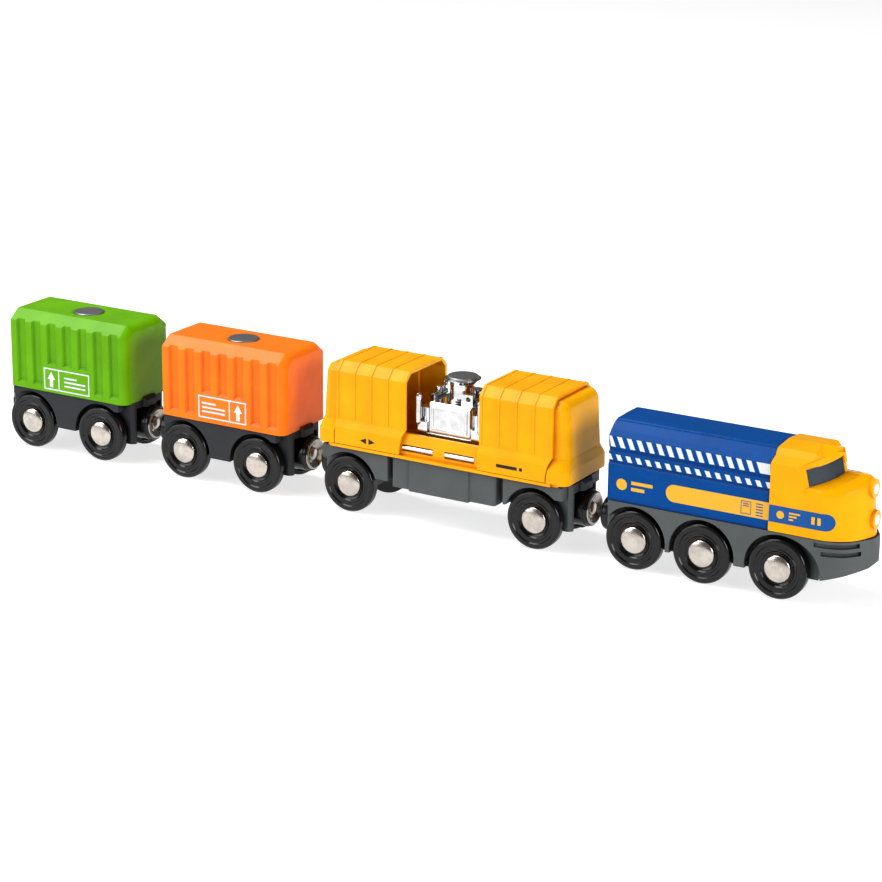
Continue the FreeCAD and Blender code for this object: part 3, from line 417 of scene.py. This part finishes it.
def container_label(colour, word, side):
    """White outlined label with an arrow panel and a panel of plain lines."""
    place = LABELS[colour]
    ink = Print(f"{colour}_label_{word}", colour + "_container", colour + "_load", side, WHITE_INK,
                "lamp_lens")
    axle, foot, top = place["axle"], place["foot"], place["foot"] + LABEL_HEIGHT
    ink.outline(axle + place["start"], axle + place["end"], foot, top, LABEL_OUTLINE)
    divider = axle + place["divider"]
    ink.bar(divider - LABEL_DIVIDER_HALF, divider + LABEL_DIVIDER_HALF, foot + LABEL_OUTLINE,
            top - LABEL_OUTLINE, 1, 6)
    ink.arrow(axle + place["arrow"], foot + LABEL_ARROW_LOW, foot + LABEL_ARROW_HIGH, LABEL_ARROW_WIDTH)
    for number, shorter in enumerate((0, 0, LABEL_SHORT_LINE)):
        z = place["lines_foot"] + number * LABEL_LINE_PITCH
        ink.bar(axle + place["lines_start"], axle + place["lines_end"] - shorter,
                z - LABEL_LINE_HALF, z + LABEL_LINE_HALF, 8)
    ink.finish()


# Marks on the covers' skirts. Their places are measured from the middle between the covers.
TRIANGLES_OUT = 30.0
TRIANGLE_BASE, TRIANGLE_TIP = 0.5, 3.1
TRIANGLE_LOW, TRIANGLE_TIP_LOW, TRIANGLE_TIP_HIGH, TRIANGLE_HIGH = 27.2, 28.25, 28.3, 29.35
BAR_OUT = 27.8
BAR_START, BAR_END, SQUARE_START, SQUARE_END = -5.2, 3.0, 3.9, 5.1
BAR_LOW, BAR_HIGH = 28.0, 29.2


def cover_mark(cover, word, side):
    return Print(f"{cover}_mark_{word}", cover, cover + "_slider", side, BLACK_INK, "black_plastic")


def cover_marks(word, side):
    """Plain black marks, as seen from a side: two triangles to the left, a bar and a dot to the right."""
    middle = (centre_x("rear_cover") + centre_x("front_cover")) / 2
    left, right = ("rear_cover", "front_cover") if side < 0 else ("front_cover", "rear_cover")
    ink = cover_mark(left, word, side)
    x = middle + side * TRIANGLES_OUT
    for way in (-1, 1):
        base, tip = x + way * TRIANGLE_BASE, x + way * TRIANGLE_TIP
        ink.patch([(base, TRIANGLE_LOW), (tip, TRIANGLE_TIP_LOW), (tip, TRIANGLE_TIP_HIGH),
                   (base, TRIANGLE_HIGH)], 3, 3)
    ink.finish()
    ink = cover_mark(right, word, side)
    x = middle - side * BAR_OUT
    ink.bar(x + BAR_START, x + BAR_END, BAR_LOW, BAR_HIGH, 6)
    ink.bar(x + SQUARE_START, x + SQUARE_END, BAR_LOW, BAR_HIGH)
    ink.finish()


# Loco marks. Lengths run from the loco's rear axle, where stroke number 0 of each hatch row starts.
HATCH_MARGIN = 0.1
UPPER_HATCH = {"low": 42.35, "high": 46.15, "half": 0.9, "lean": 1.35, "first": -6.56, "pitch": 3.66,
               "numbers": range(-1, 14), "rows": 3}
LOWER_HATCH = {"low": 37.75, "high": 39.75, "half": 0.85, "lean": 1.0, "first": -7.02, "pitch": 3.67,
               "numbers": range(-1, 16), "rows": 2}
BLOCK_LOW_START, BLOCK_HIGH_START, BLOCK_MARGIN = 45.1, 43.8, 0.3
STRIPE_START, STRIPE_LOW, STRIPE_HIGH, STRIPE_MARGIN = 11.4, 26.75, 32.85, 0.05
BODY_DOT_X, BODY_DOT_Z, BODY_DOT_RADIUS = -5.2, 29.6, 2.0
BODY_BARS_START, BODY_BAR_THICK = -1.6, 1.2
LONG_BAR_END, LONG_BAR_LOW = 6.4, 30.1
SHORT_BAR_END, SHORT_BAR_LOW = 3.4, 27.9
VENT_LIFT = 0.09
VENT_START, VENT_END, VENT_LOW, VENT_HIGH, VENT_OUTLINE = 38.9, 42.6, 27.5, 32.0, 0.22
VENT_SLITS = (30.9, 30.1)
VENT_SLIT_START, VENT_SLIT_END, VENT_SLIT_THICK = 0.8, 2.9, 0.35
LOUVRE_START, LOUVRE_END, LOUVRE_THICK, LOUVRE_COUNT = 44.3, 46.9, 0.38, 5
CAB_STRIPE_END, CAB_STRIPE_LOW, CAB_STRIPE_HIGH = 72.3, 26.8, 32.6
CAB_STRIPE_LIFT, CAB_MARK_LIFT = 0.07, 0.14
CAB_DOT_X, CAB_DOT_Z, CAB_DOT_RADIUS = 53.4, 29.7, 1.35
CAB_LINE_START, CAB_LINE_END, CAB_LINE_SHORTER = 56.4, 60.4, 1.2
CAB_LINE_TOP, CAB_LINE_THICK, CAB_LINE_PITCH = 30.5, 0.6, 1.1
CAB_STROKE_START, CAB_STROKE_PITCH, CAB_STROKE_WIDTH = 64.4, 2.1, 1.2
CAB_STROKE_LOW, CAB_STROKE_HIGH = 28.5, 31.0


def hatch_row(ink, row, rear, front):
    """Row of leaning strokes, cut off at the ends of the body."""
    for number in row["numbers"]:
        top = LOCO_X + row["first"] + row["pitch"] * number
        low = top + row["lean"]
        corners = [(low - row["half"], row["low"]), (low + row["half"], row["low"]),
                   (top + row["half"], row["high"]), (top - row["half"], row["high"])]
        held = [(min(max(x, rear + HATCH_MARGIN), front - HATCH_MARGIN), z) for x, z in corners]
        ink.patch(held, 1, row["rows"])


def loco_body_marks(word, side):
    """Hatch rows, yellow side stripe with a dot and bars behind it, and vent strokes on the stripe."""
    rear, front = (corner.x for corner in low_high("loco_body"))
    ink = Print("loco_hatching_" + word, "loco_body", "loco", side, WHITE_INK, "lamp_lens")
    hatch_row(ink, UPPER_HATCH, rear, front)
    low, high, end = UPPER_HATCH["low"], UPPER_HATCH["high"], front - BLOCK_MARGIN
    ink.patch([(LOCO_X + BLOCK_LOW_START, low), (end, low), (end, high),
               (LOCO_X + BLOCK_HIGH_START, high)], 3, 3)
    hatch_row(ink, LOWER_HATCH, rear, front)
    ink.finish()
    ink = Print("loco_side_stripe_" + word, "loco_body", "loco", side, YELLOW_INK, "yellow_plastic")
    ink.stripe(LOCO_X + STRIPE_START, front - STRIPE_MARGIN, STRIPE_LOW, STRIPE_HIGH, round_start=True)
    ink.disc(LOCO_X + BODY_DOT_X, BODY_DOT_Z, BODY_DOT_RADIUS)
    for end, z in ((LONG_BAR_END, LONG_BAR_LOW), (SHORT_BAR_END, SHORT_BAR_LOW)):
        ink.bar(LOCO_X + BODY_BARS_START, LOCO_X + end, z, z + BODY_BAR_THICK, 4)
    ink.finish()
    ink = Print("loco_side_vents_" + word, "loco_body", "loco", side, BLUE_INK, "blue_plastic", VENT_LIFT)
    start = LOCO_X + VENT_START
    ink.outline(start, LOCO_X + VENT_END, VENT_LOW, VENT_HIGH, VENT_OUTLINE)
    for z in VENT_SLITS:
        ink.bar(start + VENT_SLIT_START, start + VENT_SLIT_END, z, z + VENT_SLIT_THICK)
    for number in range(LOUVRE_COUNT):
        z = VENT_LOW + number
        ink.bar(LOCO_X + LOUVRE_START, LOCO_X + LOUVRE_END, z, z + LOUVRE_THICK)
    ink.finish()


def cab_marks(word, side):
    """Blue stripe across the cab with a yellow dot, three lines and two strokes on it."""
    ink = Print("cab_stripe_" + word, "loco_cab", "loco", side, BLUE_INK, "blue_plastic", CAB_STRIPE_LIFT)
    ink.stripe(low_high("loco_cab")[0].x + STRIPE_MARGIN, LOCO_X + CAB_STRIPE_END, CAB_STRIPE_LOW,
               CAB_STRIPE_HIGH, round_end=True)
    ink.finish()
    ink = Print("cab_stripe_marks_" + word, "loco_cab", "loco", side, YELLOW_INK, "yellow_plastic",
                CAB_MARK_LIFT)
    ink.disc(LOCO_X + CAB_DOT_X, CAB_DOT_Z, CAB_DOT_RADIUS)
    for number in range(3):
        z = CAB_LINE_TOP - number * CAB_LINE_PITCH
        end = LOCO_X + CAB_LINE_END - number * CAB_LINE_SHORTER
        ink.bar(LOCO_X + CAB_LINE_START, end, z, z + CAB_LINE_THICK, 3)
    for number in range(2):
        x = LOCO_X + CAB_STROKE_START + number * CAB_STROKE_PITCH
        ink.bar(x, x + CAB_STROKE_WIDTH, CAB_STROKE_LOW, CAB_STROKE_HIGH, 2, 3)
    ink.finish()


for side_word, side_way in SIDES.items():
    for label_colour in LABELS:
        container_label(label_colour, side_word, side_way)
for side_word, side_way in SIDES.items():
    cover_marks(side_word, side_way)
for side_word, side_way in SIDES.items():
    loco_body_marks(side_word, side_way)
    cab_marks(side_word, side_way)

# ---------------------------------------------------------------- studio
FLOOR_SIZE = 6.0
FLOOR_DROP = 0.0002
FLOOR_TONES = ((0.55, 0.55, 0.55, 1), (0.59, 0.59, 0.59, 1))
FLOOR_GLOW = 0.72
WORLD_TONES = ((0.55, 0.55, 0.56, 1), (1.0, 1.0, 1.0, 1))
WORLD_TOP = 0.75
WORLD_STRENGTH = 0.16


def add_floor():
    mesh = bmesh.new()
    bmesh.ops.create_grid(mesh, x_segments=1, y_segments=1, size=FLOOR_SIZE)
    data = bpy.data.meshes.new("studio_floor")
    mesh.to_mesh(data)
    mesh.free()
    material, tree, shader = new_material("studio_floor")
    tone = noise(tree, FLOOR_WAVES, 1.0)
    tree.links.new(mix(tree, tone, *FLOOR_TONES), shader.inputs["Base Color"])
    shader.inputs["Emission Color"].default_value = (1, 1, 1, 1)
    shader.inputs["Emission Strength"].default_value = FLOOR_GLOW
    shader.inputs["Roughness"].default_value = 0.9
    shader.inputs["Specular IOR Level"].default_value = 0.1
    data.materials.append(material)
    floor = bpy.data.objects.new("studio_floor", data)
    floor.location.z = -FLOOR_DROP
    bpy.context.scene.collection.objects.link(floor)


def add_light(name, direction, distance, size, power):
    data = bpy.data.lights.new(name, "AREA")
    data.shape = "RECTANGLE"
    data.size, data.size_y = size
    data.energy = power
    light = bpy.data.objects.new(name, data)
    place = Vector(direction).normalized() * distance
    light.location = place
    light.rotation_euler = (-place).to_track_quat("-Z", "Y").to_euler()
    bpy.context.scene.collection.objects.link(light)


def add_world():
    """Soft surround, brighter overhead."""
    world = bpy.data.worlds.new("studio")
    bpy.context.scene.world = world
    world.use_nodes = True
    tree = world.node_tree
    background = tree.nodes["Background"]
    coords = tree.nodes.new("ShaderNodeTexCoord")
    split = tree.nodes.new("ShaderNodeSeparateXYZ")
    tree.links.new(coords.outputs["Generated"], split.inputs[0])
    ramp = tree.nodes.new("ShaderNodeValToRGB")
    for element, place, tone in zip(ramp.color_ramp.elements, (0.0, WORLD_TOP), WORLD_TONES):
        element.position = place
        element.color = tone
    tree.links.new(split.outputs["Z"], ramp.inputs[0])
    tree.links.new(ramp.outputs[0], background.inputs["Color"])
    background.inputs["Strength"].default_value = WORLD_STRENGTH


add_floor()
add_light("key", direction=(-0.5, -0.12, 0.9), distance=1.1, size=(0.9, 0.6), power=15)
add_light("front", direction=(-0.85, -0.8, 0.4), distance=1.3, size=(0.9, 0.5), power=6.3)
add_light("nose", direction=(1.0, -0.25, 0.35), distance=1.3, size=(0.6, 0.5), power=11)
add_world()
bpy.context.scene.view_settings.view_transform = "Standard"
bpy.context.scene.view_settings.look = "None"
